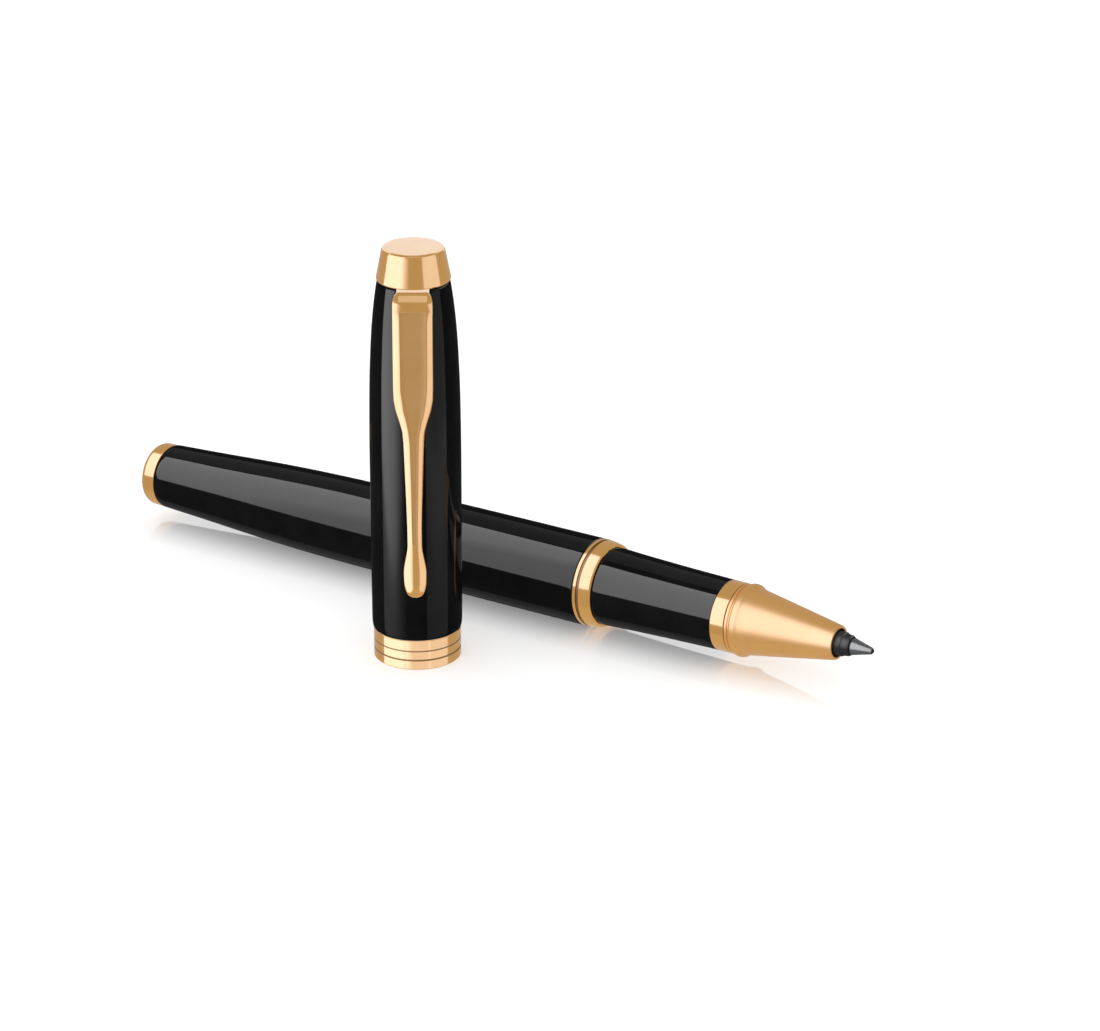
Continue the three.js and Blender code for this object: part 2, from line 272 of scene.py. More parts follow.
def bump(nt, bsdf, src, strength, distance):
    b = nt.nodes.new("ShaderNodeBump")
    b.inputs["Strength"].default_value = strength
    b.inputs["Distance"].default_value = distance
    nt.links.new(src, b.inputs["Height"])
    nt.links.new(b.outputs["Normal"], bsdf.inputs["Normal"])


def lacquer(name):
    m, nt, b = new_material(name, (0.004, 0.004, 0.0045), 0.05, 0.0)
    cloud = noise(nt, 180.0, 2.0)
    nt.links.new(colour_mix(nt, cloud.outputs["Fac"], (0.0030, 0.0030, 0.0034), (0.0048, 0.0047, 0.0050)), b.inputs["Base Color"])
    wear = noise(nt, 900.0, 4.0, 0.6)
    nt.links.new(ramp_to(nt, wear.outputs["Fac"], 0.035, 0.075), b.inputs["Roughness"])
    peel = noise(nt, 420.0, 1.0, 0.4)
    bump(nt, b, peel.outputs["Fac"], 0.04, 0.00002)
    return m


GOLD = (0.94, 0.505, 0.155)


def gold(name, rough_lo, rough_hi, lines, strength, axis, shade=1.0):
    """Gold plating over turned metal: fine lines run round the turning axis."""
    m, nt, b = new_material(name, GOLD, (rough_lo + rough_hi) / 2, 1.0)
    st = (lines, 12, 12) if axis == "X" else (12, 12, lines)
    fine = noise(nt, 1.0, 2.0, 0.6, stretch=st)
    tone = noise(nt, 220.0, 3.0)
    # shade below 1 darkens the plating's colour: painted shade
    nt.links.new(colour_mix(nt, tone.outputs["Fac"], tuple(c * shade for c in (0.925, 0.49, 0.147)), tuple(c * shade for c in (0.955, 0.52, 0.163))), b.inputs["Base Color"])
    nt.links.new(ramp_to(nt, fine.outputs["Fac"], rough_lo, rough_hi), b.inputs["Roughness"])
    bump(nt, b, fine.outputs["Fac"], strength, 0.00001)
    return m


def plastic(name, base, rough_lo, rough_hi, grain=2500.0, strength=0.15):
    m, nt, b = new_material(name, base, (rough_lo + rough_hi) / 2, 0.0)
    g = noise(nt, grain, 3.0)
    v = noise(nt, 300.0, 2.0)
    c1 = tuple(min(1.0, c * 1.35 + 0.002) for c in base)
    nt.links.new(colour_mix(nt, v.outputs["Fac"], base, c1), b.inputs["Base Color"])
    nt.links.new(ramp_to(nt, g.outputs["Fac"], rough_lo, rough_hi), b.inputs["Roughness"])
    bump(nt, b, g.outputs["Fac"], strength, 0.00002)
    return m


def metal(name, base, rough_lo, rough_hi, lines, strength, axis="X"):
    m, nt, b = new_material(name, base, (rough_lo + rough_hi) / 2, 1.0)
    st = (lines, 12, 12) if axis == "X" else (12, 12, lines)
    fine = noise(nt, 1.0, 2.0, 0.6, stretch=st)
    tone = noise(nt, 400.0, 3.0)
    c1 = tuple(min(1.0, c * 1.12) for c in base)
    nt.links.new(colour_mix(nt, tone.outputs["Fac"], base, c1), b.inputs["Base Color"])
    nt.links.new(ramp_to(nt, fine.outputs["Fac"], rough_lo, rough_hi), b.inputs["Roughness"])
    bump(nt, b, fine.outputs["Fac"], strength, 0.00001)
    return m


M_LACQUER = lacquer("black_lacquer")
M_GOLD_X = gold("polished_gold_turned", 0.10, 0.16, 9000, 0.10, "X")
M_GOLD_Z = gold("polished_gold_cap", 0.10, 0.16, 9000, 0.10, "Z")
# groove gold at a third of the colour: painted shade for the grooves' dark lines
M_SHADE_GROOVE = gold("groove_painted_shade", 0.30, 0.45, 9000, 0.3, "Z", shade=0.34)
# channel floor: rougher satin gold (real), colour darkened a fifth (painted shade in the recess)
M_SHADED_SATIN_FLOOR = gold("satin_floor_painted_shade", 0.30, 0.42, 9000, 0.35, "Z", shade=0.80)
M_SATIN = gold("satin_gold", 0.30, 0.40, 14000, 0.30, "X")
M_BRASS_X = metal("turned_brass", (0.62, 0.43, 0.16), 0.28, 0.42, 9000, 0.3)
M_BRASS_Z = metal("turned_brass_cap", (0.62, 0.43, 0.16), 0.28, 0.42, 9000, 0.3, "Z")
M_STEEL = metal("turned_steel", (0.60, 0.61, 0.63), 0.20, 0.32, 16000, 0.35)
M_WIRE = metal("spring_wire", (0.50, 0.51, 0.53), 0.22, 0.35, 6000, 0.2)
M_CARBIDE = metal("carbide", (0.10, 0.10, 0.11), 0.12, 0.22, 3000, 0.1)
M_BLACK_PLASTIC = plastic("black_plastic", (0.010, 0.010, 0.011), 0.32, 0.45)
M_GREY_PLASTIC = plastic("refill_plastic", (0.060, 0.063, 0.070), 0.22, 0.34)
M_RUBBER = plastic("rubber", (0.012, 0.012, 0.012), 0.60, 0.75, 4000.0, 0.3)
M_FIBRE = plastic("ink_fibre", (0.010, 0.012, 0.030), 0.80, 0.95, 6000.0, 0.8)

# ---------------------------------------------------------------- pen body
barrel_outer = pchip([(-74.12, 4.735), (-70.0, 4.94), (-66.0, 5.15), (-60.5, 5.47), (-55.0, 5.76), (-48.0, 6.02),
                      (-40.0, 6.18), (-25.0, 6.27), (-12.0, 6.31), (0.08, 6.31)], 8)
profile = rounded(
    [(-74.25, 4.55, 0.03), (-74.22, 4.69, 0.06)] + barrel_outer + [(0.26, 6.30, 0.10), (0.32, 6.20, 0.05), (0.32, 5.65),
     (-16.0, 5.65), (-40.0, 5.58), (-55.0, 5.16), (-66.0, 4.55), (-74.25, 4.05)])
finish_piece(turned("barrel_shell_lacquer", profile, PEN_M, 192), "barrel", ["barrel_shell"], M_LACQUER)

profile = rounded([(-76.95, 0), (-76.95, 3.9, 0.3), (-76.78, 4.40, 0.45), (-76.2, 4.66, 0.5), (-74.58, 4.69, 0.08), (-74.50, 4.60, 0.04),
                   (-74.50, 3.7, 0.03), (-71.3, 3.7, 0.05), (-71.0, 3.4, 0.05), (-71.0, 0)], closed=False, arc=8)
finish_piece(turned("barrel_end_cap_gold", profile, PEN_M, 160), "barrel", ["barrel_end_cap"], M_GOLD_X)

PITCH = 0.8


def thread(depth, s0, s1, sign=1.0):
    def at(s, r, a):
        if s <= s0 or s >= s1:
            return r
        fade = min(1.0, (s - s0) / 0.6, (s1 - s) / 0.6)
        ph = (s / PITCH - a / (2 * math.pi)) % 1.0
        tri = abs(2 * ph - 1)
        cut = min(1.0, max(0.0, (tri - 0.15) / 0.7))
        return r + sign * depth * fade * cut
    return at


def stations(s0, s1, step, r):
    k = max(1, round((s1 - s0) / step))
    return [(s0 + (s1 - s0) * i / k, r) for i in range(k + 1)]


# barrel insert: female thread, cut outward from the bore
bore = stations(-14.3, -0.75, 0.1, 4.75)[::-1]
insert_profile = [(-14.5, 4.9), (-14.5, 5.3), (-0.5, 5.3), (-0.5, 4.95)] + bore
ob = turned("barrel_thread_insert_brass", insert_profile, PEN_M, 96, 40.0,
            radius_at=lambda s, r, a: thread(0.28, -14.2, -0.8)(s, r, a) if r < 4.76 else r)
finish_piece(ob, "barrel", ["barrel_thread_insert"], M_BRASS_X)

# trim ring, one groove
profile = rounded([(0.38, 5.7), (0.38, 6.23, 0.04), (0.46, 6.30, 0.05), (0.90, 6.30, 0.05), (0.96, 6.12, 0.04), (1.34, 6.11, 0.04),
                   (1.40, 6.27, 0.04), (2.05, 6.19, 0.6), (2.72, 6.02, 0.05), (2.76, 6.05, 0.03), (2.92, 6.01, 0.05), (3.12, 5.83, 0.05),
                   (3.15, 5.70, 0.02), (3.15, 4.75), (0.8, 4.75), (0.8, 5.7)])
# the ring's groove gets the darker gold: painted shade
paint_groove_shade(finish_piece(turned("trim_ring_gold", profile, PEN_M, 192), "trim_ring", ["trim_ring"], M_GOLD_X),
            PEN_M, M_SHADE_GROOVE, [(0.92, 1.42)], 6.0, 6.25)

oring = [(0.12 + 0.33 * math.cos(2 * math.pi * i / 24), 5.0 + 0.33 * math.sin(2 * math.pi * i / 24)) for i in range(24)]
finish_piece(turned("section_seal_rubber", oring, PEN_M, 96), "seal_ring", ["section_o_ring"], M_RUBBER)

crest = stations(-12.2, -2.6, 0.1, 4.35)
sleeve_profile = [(-12.5, 3.5), (-12.5, 4.1)] + crest + [(7.0, 4.35), (7.0, 3.5)]
ob = turned("section_thread_sleeve_brass", sleeve_profile, PEN_M, 96, 40.0,
            radius_at=lambda s, r, a: thread(0.26, -12.3, -2.7, -1.0)(s, r, a) if abs(r - 4.35) < 1e-6 else r)
finish_piece(ob, "section", ["section_thread_sleeve"], M_BRASS_X)

grip_outer = pchip([(3.38, 5.60), (6.0, 5.47), (10.0, 5.32), (15.0, 5.17), (21.95, 5.02)], 8)
profile = rounded([(3.21, 4.7), (3.21, 5.50, 0.03), (3.24, 5.58, 0.06)] + grip_outer + [(22.10, 5.01, 0.05), (22.13, 4.92, 0.03), (22.13, 4.35),
                   (13.9, 4.35), (13.9, 3.5), (7.3, 3.5), (7.3, 4.7)])
finish_piece(turned("section_grip_lacquer", profile, PEN_M, 192), "section", ["section_grip"], M_LACQUER)

profile = rounded([(22.17, 4.35), (22.17, 5.00, 0.04), (22.24, 5.04, 0.05), (24.26, 5.01, 0.05), (24.33, 4.93, 0.03), (24.33, 4.35)])
finish_piece(turned("section_front_ring_gold", profile, PEN_M, 192), "section", ["section_front_ring"], M_GOLD_X)

profile = rounded([(14.2, 3.45), (14.2, 4.0), (24.42, 4.0), (24.42, 4.94, 0.03), (24.48, 5.00, 0.05), (24.84, 5.00, 0.06), (24.90, 4.83, 0.04),
                   (25.10, 4.83, 0.05), (25.16, 5.08, 0.08), (25.42, 5.20, 0.25), (25.95, 5.19, 0.5), (26.35, 4.92, 0.35), (26.75, 4.73, 0.6),
                   (33.0, 3.66, 1.0), (39.62, 2.50, 0.3), (39.95, 2.38, 0.10), (40.0, 2.22, 0.05), (39.97, 2.06, 0.04), (36.6, 2.06), (29.0, 3.3), (26.0, 3.45)], arc=6)
finish_piece(turned("nose_cone_satin", profile, PEN_M, 192), "section", ["nose_cone"], M_SATIN)

# ------------------------------------------------------------------ refill
profile = rounded([(-60.0, 2.5), (-60.0, 3.0, 0.15), (24.85, 3.0, 0.1), (24.85, 2.5)])
finish_piece(turned("refill_tube_plastic", profile, PEN_M, 96), "refill", ["refill_tube"], M_GREY_PLASTIC)
profile = rounded([(-66.0, 0), (-66.0, 1.3, 0.1), (-65.6, 1.6, 0.2), (-63.0, 1.6, 0.1), (-63.0, 2.85, 0.1), (-60.1, 3.0, 0.1),
                   (-60.1, 2.15), (-58.6, 2.15), (-58.6, 0)], closed=False)
finish_piece(turned("refill_tail_plug_plastic", profile, PEN_M, 96), "refill", ["refill_tail_plug"], M_BLACK_PLASTIC)
finish_piece(turned("ink_reservoir_fibre", rounded([(-58.0, 0), (-58.0, 2.15, 0.2), (15.4, 2.15, 0.2), (15.4, 0)], closed=False), PEN_M, 64),
             "refill", ["ink_reservoir"], M_FIBRE)
finish_piece(turned("refill_feed_rod", rounded([(15.8, 0), (15.8, 0.55, 0.1), (41.0, 0.55, 0.1), (41.0, 0)], closed=False), PEN_M, 48),
             "refill", ["refill_feed"], M_FIBRE)
profile = rounded([(19.0, 0.95), (19.0, 2.15), (25.0, 2.15), (25.0, 2.95, 0.1), (28.2, 2.75, 0.4), (35.8, 1.75, 0.6), (40.85, 1.72, 0.12),
                   (41.05, 1.56, 0.12), (41.85, 1.47, 0.15), (42.05, 1.33, 0.08), (42.05, 0.95)])
finish_piece(turned("refill_nose_plastic", profile, PEN_M, 96), "refill", ["refill_nose"], M_BLACK_PLASTIC)
profile = rounded([(41.3, 0), (41.3, 0.62), (42.1, 0.62), (42.1, 1.12, 0.04), (42.34, 1.2, 0.1), (43.5, 0.885, 0.4), (45.08, 0.50, 0.1),
                   (45.2, 0.44, 0.02), (45.2, 0.40), (44.65, 0.40), (44.65, 0)], closed=False)
finish_piece(turned("refill_tip_steel", profile, PEN_M, 96), "refill", ["refill_tip"], M_STEEL)

ball = [(45.1 - 0.35 * math.cos(math.pi * i / 24), 0.35 * math.sin(math.pi * i / 24)) for i in range(25)]
ball[0], ball[-1] = (44.75, 0), (45.45, 0)
finish_piece(turned("writing_ball_carbide", ball, PEN_M, 48), "ball", ["writing_ball"], M_CARBIDE)


def coil(name, radius, s0, s1, turns, wire, matrix, per_turn=40, section=12):
    """Compression spring of even pitch, ends closed."""
    verts, faces = [], []
    n = int(turns * per_turn)
    for i in range(n + 1):
        t = i / n
        a = 2 * math.pi * turns * t
        s = s0 + (s1 - s0) * t
        c, q = math.cos(a), math.sin(a)
        centre = Vector((radius * c, radius * q, s))
        tan = Vector((-radius * q * 2 * math.pi * turns, radius * c * 2 * math.pi * turns, (s1 - s0))).normalized()
        out = Vector((c, q, 0))
        up = tan.cross(out).normalized()
        for k in range(section):
            w = 2 * math.pi * k / section
            verts.append((centre + wire * (math.cos(w) * out + math.sin(w) * up)) * MM)
    for i in range(n):
        for k in range(section):
            k2 = (k + 1) % section
            a0, b0 = i * section, (i + 1) * section
            faces.append((a0 + k, b0 + k, b0 + k2, a0 + k2))
    faces.append(tuple(range(section)))
    faces.append(tuple(n * section + k for k in reversed(range(section))))
    return mesh_object(name, verts, faces, matrix, 40.0)


ob = coil("refill_spring_wire", 2.35, -70.4, -63.6, 5, 0.21, PEN_M)
finish_piece(ob, "barrel", ["refill_spring"], M_WIRE)
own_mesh(ob)

# --------------------------------------------------------------------- cap
profile = rounded([(0, 5.75, 0.04), (0, 5.97, 0.06), (0.10, 6.07, 0.08), (1.28, 6.07, 0.03), (1.32, 5.92, 0.03), (1.50, 5.92, 0.03), (1.54, 6.07, 0.03),
                   (2.66, 6.07, 0.03), (2.69, 5.94, 0.02), (2.82, 5.94, 0.02), (2.85, 6.07, 0.03), (4.24, 6.07, 0.06), (4.30, 6.00, 0.03),
                   (4.30, 5.75)])
# the band's two grooves get the darker gold: painted shade
paint_groove_shade(finish_piece(turned("cap_band_gold", profile, CAP_M, 192), "cap", ["cap_band"], M_GOLD_Z),
            CAP_M, M_SHADE_GROOVE, [(1.26, 1.56), (2.64, 2.87)], 5.85, 6.06)

shell_outer = pchip([(4.62, 6.19), (5.3, 6.26), (8.4, 6.29), (20.0, 6.31), (30.0, 6.32), (35.0, 6.29), (40.7, 6.19), (43.6, 6.08), (46.5, 5.94),
                     (49.4, 5.73), (52.3, 5.43), (54.0, 5.2), (54.95, 5.05)], 6)
profile = rounded([(4.36, 6.00, 0.04), (4.40, 6.10, 0.06)] + shell_outer + [(55.15, 4.97, 0.10), (55.2, 4.86, 0.05), (55.2, 4.45), (53.9, 4.45), (53.9, 1.9),
                   (52.6, 1.9), (52.6, 4.9), (49.4, 5.31), (43.6, 5.66), (35.0, 5.87), (20.0, 5.89), (4.55, 5.86), (4.36, 5.86)])
shell = turned("cap_shell_lacquer", profile, CAP_M, 192)


def box_mesh(name, lo, hi, matrix):
    me = bpy.data.meshes.new(name)
    bm = bmesh.new()
    bmesh.ops.create_cube(bm, size=1.0)
    for v in bm.verts:
        v.co = Vector([lo[i] + (v.co[i] + 0.5) * (hi[i] - lo[i]) for i in range(3)]) * MM
        v.co = matrix @ v.co
    bm.to_mesh(me)
    bm.free()
    ob = bpy.data.objects.new(name, me)
    bpy.context.scene.collection.objects.link(ob)
    return ob


def apply_modifiers(ob):
    dg = bpy.context.evaluated_depsgraph_get()
    me = bpy.data.meshes.new_from_object(ob.evaluated_get(dg))
    ob.modifiers.clear()
    old = ob.data
    ob.data = me
    bpy.data.meshes.remove(old)
    return ob


cutter = box_mesh("cutter", (3.6, -2.45, 53.9), (7.6, 2.45, 55.9), CAP_M)
mod = shell.modifiers.new("notch", "BOOLEAN")
mod.operation = "DIFFERENCE"
mod.solver = "EXACT"
mod.object = cutter
apply_modifiers(shell)
bpy.data.objects.remove(cutter)
shell.data.set_sharp_from_angle(angle=math.radians(30))
finish_piece(shell, "cap", ["cap_shell"], M_LACQUER)

profile = rounded([(12.0, 5.28, 0.1), (12.0, 5.55, 0.1), (34.0, 5.55, 1.0), (42.0, 5.2, 1.0), (47.6, 4.75, 0.3), (47.6, 0.8, 0.1), (46.6, 0.8, 0.1),
                   (46.6, 4.45, 0.3), (42.0, 4.9, 1.0), (34.0, 5.25, 1.0), (24.3, 5.28, 0.1), (24.0, 4.98, 0.1), (23.5, 4.98, 0.1), (23.2, 5.28, 0.1)])
finish_piece(turned("cap_liner_plastic", profile, CAP_M, 128), "cap", ["cap_liner"], M_BLACK_PLASTIC)

profile = rounded([(60.0, 0), (60.0, 3.5), (59.99, 3.85, 0.4), (59.88, 4.22, 0.18), (59.6, 4.35, 0.12), (55.62, 5.13, 0.06), (55.46, 5.06, 0.05),
                   (55.46, 4.7), (55.6, 4.5), (55.6, 1.85), (58.3, 1.85), (58.3, 0)], closed=False, arc=8)
finish_piece(turned("cap_finial_gold", profile, CAP_M, 192), "cap", ["cap_finial"], M_GOLD_Z)
profile = rounded([(49.4, 0), (49.4, 1.3, 0.05), (49.6, 1.5, 0.05), (57.8, 1.5, 0.05), (58.0, 1.3, 0.05), (58.0, 0)], closed=False)
finish_piece(turned("finial_stud_steel", profile, CAP_M, 48), "cap", ["finial_stud"], M_WIRE)
profile = rounded([(50.3, 1.82), (50.3, 3.28), (52.3, 3.28), (52.3, 1.82)])
finish_piece(turned("finial_nut_brass", profile, CAP_M, 6), "cap", ["finial_nut"], M_BRASS_Z)

# -------------------------------------------------------------------- clip
# stations down the clip: (z on the front face, radius of front face, z on the back face, radius of back face)
front = pchip([(11.32, 6.98), (11.7, 7.3), (12.4, 7.52), (13.7, 7.72), (16.2, 7.85), (20.0, 7.95), (28.0, 8.02), (34.0, 8.02), (41.0, 7.95), (47.0, 7.75),
               (51.0, 7.45), (52.4, 7.25)], 6)
back = pchip([(11.32, 6.96), (11.9, 6.80), (13.2, 6.68), (15.7, 6.68), (18.5, 6.85), (24.0, 7.0), (34.0, 7.05), (42.0, 6.95), (48.0, 6.65), (52.0, 6.3),
              (52.8, 6.1)], 6)
half = pchip([(11.32, 0.35), (11.55, 0.82), (12.0, 1.16), (12.7, 1.40), (13.7, 1.53), (15.1, 1.55), (16.5, 1.40), (17.9, 1.14), (19.2, 0.98), (21.2, 0.99),
              (25.0, 1.08), (30.0, 1.24), (34.5, 1.40), (36.0, 1.53), (37.2, 1.85), (38.5, 2.26), (40.0, 2.60), (41.2, 2.695), (47.0, 2.70), (54.6, 2.70)], 6)


def at(curve, z):
    if z <= curve[0][0]:
        return curve[0][1]
    for (z0, r0), (z1, r1) in zip(curve, curve[1:]):
        if z <= z1:
            return r0 + (r1 - r0) * (z - z0) / (z1 - z0)
    return curve[-1][1]


panel = [(19.5, 0.30), (24.0, 0.36), (30.0, 0.46), (35.0, 0.56), (37.0, 0.84), (39.0, 1.34), (42.0, 1.72), (53.0, 1.80)]
PANEL_TOP, PANEL_BOTTOM, PANEL_DEPTH = 53.0, 19.5, 0.22


def clip_section(out_pt, in_pt, w, slope, recess_w, recess_d):
    """Half section, from the middle of the front to the middle of the back, as (across, depth below the front face)."""
    th = (Vector(out_pt) - Vector(in_pt)).length
    c = min(0.15, 0.25 * th, 0.3 * w)
    rw = max(0.02, min(recess_w, w - c - 0.12))
    edge = min(slope * (w - rw), 0.5 * th)
    k = c / (w - rw)
    return [(0, recess_d), (rw * 0.55, recess_d), (rw - 0.05 * min(1, recess_d / 0.1), recess_d), (rw, 0), (0.5 * (rw + w - c), edge * 0.5 * (1 - k)),
            (w - c, edge * (1 - k)), (w, edge + 0.6 * c), (w, (edge + 0.6 * c + th - c) / 2), (w, th - c), (w - c, th), (0, th)]


rows = []


def add_row(o, i, w, slope, rw, rd):
    half_pts = clip_section(o, i, w, slope, rw, rd)
    o3, i3 = Vector((o[0], 0, o[1])), Vector((i[0], 0, i[1]))
    down = (i3 - o3).normalized()
    pts = [o3 + Vector((0, t, 0)) + down * d for t, d in half_pts]
    pts += [o3 + Vector((0, -t, 0)) + down * d for t, d in half_pts[-2:0:-1]]
    rows.append(pts)


zs = [11.32, 11.4, 11.52, 11.7, 11.95, 12.3, 12.7, 13.2, 13.7, 14.4, 15.1, 15.8, 16.5, 17.2, 17.9, 18.6, 19.2, 19.46, 19.54, 20.5, 22.0, 24.0, 26.0, 28.0,
      30.0, 31.5, 33.0, 34.5, 36.0, 37.5, 39.0, 40.5, 42.0, 43.5, 45.0, 47.0, 49.0, 50.5, 51.6, 52.3]
for z in zs:
    add_row((at(front, z), z), (at(back, z), z), at(half, z), 0.38, at(panel, z), PANEL_DEPTH if z > PANEL_BOTTOM else 0.0)
# the bend over the rim, from the arm to the tab
bend = [((7.14, 52.86), (6.0, 53.1), 2.70, 0.22), ((7.09, 53.02), (5.96, 53.2), 2.70, 0.0), ((6.93, 53.65), (5.8, 53.6), 2.70, 0.0),
        ((6.72, 54.15), (5.65, 53.9), 2.69, 0.0), ((6.45, 54.56), (5.5, 54.1), 2.66, 0.0), ((6.12, 54.90), (5.35, 54.22), 2.58, 0.0),
        ((5.8, 55.14), (5.2, 54.25), 2.46, 0.0), ((5.45, 55.27), (5.05, 54.25), 2.3, 0.0)]
for o, i, w, rd in bend:
    add_row(o, i, w, 0.30, at(panel, 53.0), rd)
for r in (5.2, 4.95):
    add_row((r, 55.29), (r - 0.2, 54.25), 2.2, 0.12, 1.86, 0.0)
for r in (4.8, 4.5):
    add_row((r, 55.15), (r - 0.2, 54.25), 2.2, 0.12, 1.86, 0.0)
add_row((2.12, 55.15), (2.1, 54.25), 2.2, 0.12, 1.86, 0.0)

verts = [p * MM for row in rows for p in row]
faces = []
npt = len(rows[0])
for i in range(len(rows) - 1):
    for k in range(npt):
        k2 = (k + 1) % npt
        faces.append((i * npt + k, i * npt + k2, (i + 1) * npt + k2, (i + 1) * npt + k))
faces.append(tuple(range(npt)))
faces.append(tuple((len(rows) - 1) * npt + k for k in reversed(range(npt))))
clip = mesh_object("clip_gold", verts, faces, CAP_M, 25.0)
mod = clip.modifiers.new("edges", "BEVEL")
mod.width = 0.05 * MM
mod.segments = 3
mod.limit_method = "ANGLE"
mod.angle_limit = math.radians(22)
mod.harden_normals = False
apply_modifiers(clip)
clip.data.set_sharp_from_angle(angle=math.radians(40))
finish_piece(clip, "clip", ["clip"], M_GOLD_Z)
clip.data.materials.append(M_SHADED_SATIN_FLOOR)
_inv = CAP_M.inverted()
_turn = _inv.to_3x3()
for p in clip.data.polygons:                # the floor of the channel is satin, and its colour is darkened as painted shade in the recess
    q = (_inv @ p.center) / MM
    if (PANEL_BOTTOM < q.z < PANEL_TOP and abs(q.y) < at(panel, q.z) - 0.02 and (_turn @ p.normal).x > 0.7
            and 0.10 < at(front, q.z) - q.x < 0.40):
        p.material_index = 1

# ------------------------------------------------------------------ camera
cam_data = bpy.data.cameras.new("camera")
cam = bpy.data.objects.new("camera", cam_data)
bpy.context.scene.collection.objects.link(cam)
bpy.context.scene.camera = cam
cam_data.sensor_width = 36.0
cam_data.lens = 4744.08 / 1100 * 36.0
TURN = 0.5730243                       # between the pen's axis and the picture plane
ELEV = 0.3872656
c, s = math.cos(TURN), math.sin(TURN)
ox, oy, oz = 18.5084 * MM, -607.6123 * MM, 268.5029 * MM
cam.location = (CAP.x + c * ox - s * oy, CAP.y + s * ox + c * oy, oz)
cam.rotation_euler = (math.pi / 2 - ELEV, 0, TURN)
cam_data.clip_start, cam_data.clip_end = 0.01, 20.0

# ------------------------------------------------------- floor and lighting
me = bpy.data.meshes.new("floor")
me.from_pydata([(-1.2, -1.2, 0), (1.2, -1.2, 0), (1.2, 1.2, 0), (-1.2, 1.2, 0)], [], [(0, 1, 2, 3)])
floor = bpy.data.objects.new("floor", me)
bpy.context.scene.collection.objects.link(floor)
m = bpy.data.materials.new("floor")
m.use_nodes = True
nt = m.node_tree
nt.nodes.clear()
out = nt.nodes.new("ShaderNodeOutputMaterial")
mix = nt.nodes.new("ShaderNodeMixShader")
dif = nt.nodes.new("ShaderNodeBsdfDiffuse")
glo = nt.nodes.new("ShaderNodeBsdfGlossy")
dif.inputs["Color"].default_value = (0.96, 0.96, 0.96, 1)
glo.inputs["Color"].default_value = (1, 1, 1, 1)
glo.inputs["Roughness"].default_value = 0.03
nt.links.new(dif.outputs[0], mix.inputs[1])
nt.links.new(glo.outputs[0], mix.inputs[2])
nt.links.new(mix.outputs[0], out.inputs["Surface"])
me.materials.append(m)
floor.visible_glossy = False
floor.visible_shadow = False


def math_node(nt, op, a, b=None, c=None):
    n = nt.nodes.new("ShaderNodeMath")
    n.operation = op
    for i, v in enumerate((a, b, c)):
        if v is None:
            continue
        if isinstance(v, (int, float)):
            n.inputs[i].default_value = v
        else:
            nt.links.new(v, n.inputs[i])
    return n.outputs[0]


# the polish of the floor dies away from the line that the pen lies along
tc = nt.nodes.new("ShaderNodeTexCoord")
sep = nt.nodes.new("ShaderNodeSeparateXYZ")
nt.links.new(tc.outputs["Object"], sep.inputs[0])
dx = math_node(nt, "MAXIMUM", math_node(nt, "SUBTRACT", math_node(nt, "ABSOLUTE", sep.outputs["X"]), 0.061), 0.0)
dy = math_node(nt, "SUBTRACT", sep.outputs["Y"], AXIS_Y)
dist = math_node(nt, "SQRT", math_node(nt, "ADD", math_node(nt, "MULTIPLY", dx, dx), math_node(nt, "MULTIPLY", dy, dy)))
mr = nt.nodes.new("ShaderNodeMapRange")
mr.interpolation_type = "LINEAR"
mr.inputs["From Min"].default_value = 0.001
mr.inputs["From Max"].default_value = 0.010
mr.inputs["To Min"].default_value = 0.32
mr.inputs["To Max"].default_value = 0.015
nt.links.new(dist, mr.inputs["Value"])
nt.links.new(mr.outputs["Result"], mix.inputs["Fac"])

# world: white to look at, even for matt surfaces, almost dark in reflections
world = bpy.data.worlds.new("world")
bpy.context.scene.world = world
world.use_nodes = True
nt = world.node_tree
nt.nodes.clear()
out = nt.nodes.new("ShaderNodeOutputWorld")
lp = nt.nodes.new("ShaderNodeLightPath")
tc = nt.nodes.new("ShaderNodeTexCoord")
sep = nt.nodes.new("ShaderNodeSeparateXYZ")
mr = nt.nodes.new("ShaderNodeMapRange")
bg_cam = nt.nodes.new("ShaderNodeBackground")
bg_glossy = nt.nodes.new("ShaderNodeBackground")
bg_diff = nt.nodes.new("ShaderNodeBackground")
m1 = nt.nodes.new("ShaderNodeMixShader")
m2 = nt.nodes.new("ShaderNodeMixShader")
bg_cam.inputs["Color"].default_value = (1, 1, 1, 1)
bg_diff.inputs["Color"].default_value = (0.2, 0.2, 0.2, 1)
nt.links.new(tc.outputs["Generated"], sep.inputs[0])
nt.links.new(sep.outputs["Z"], mr.inputs["Value"])
mr.inputs["From Min"].default_value = -0.12
mr.inputs["From Max"].default_value = 0.05
mr.inputs["To Min"].default_value = 0.04
mr.inputs["To Max"].default_value = 0.02
nt.links.new(mr.outputs["Result"], bg_glossy.inputs["Strength"])
nt.links.new(lp.outputs["Is Glossy Ray"], m1.inputs["Fac"])
nt.links.new(bg_diff.outputs[0], m1.inputs[1])
nt.links.new(bg_glossy.outputs[0], m1.inputs[2])
nt.links.new(lp.outputs["Is Camera Ray"], m2.inputs["Fac"])
nt.links.new(m1.outputs[0], m2.inputs[1])
nt.links.new(bg_cam.outputs[0], m2.inputs[2])
nt.links.new(m2.outputs[0], out.inputs["Surface"])


def receivers(name, *lists):
    coll = bpy.data.collections.new(name)
    for names in lists:
        for n in names:
            coll.objects.link(bpy.data.objects[n])
    return coll


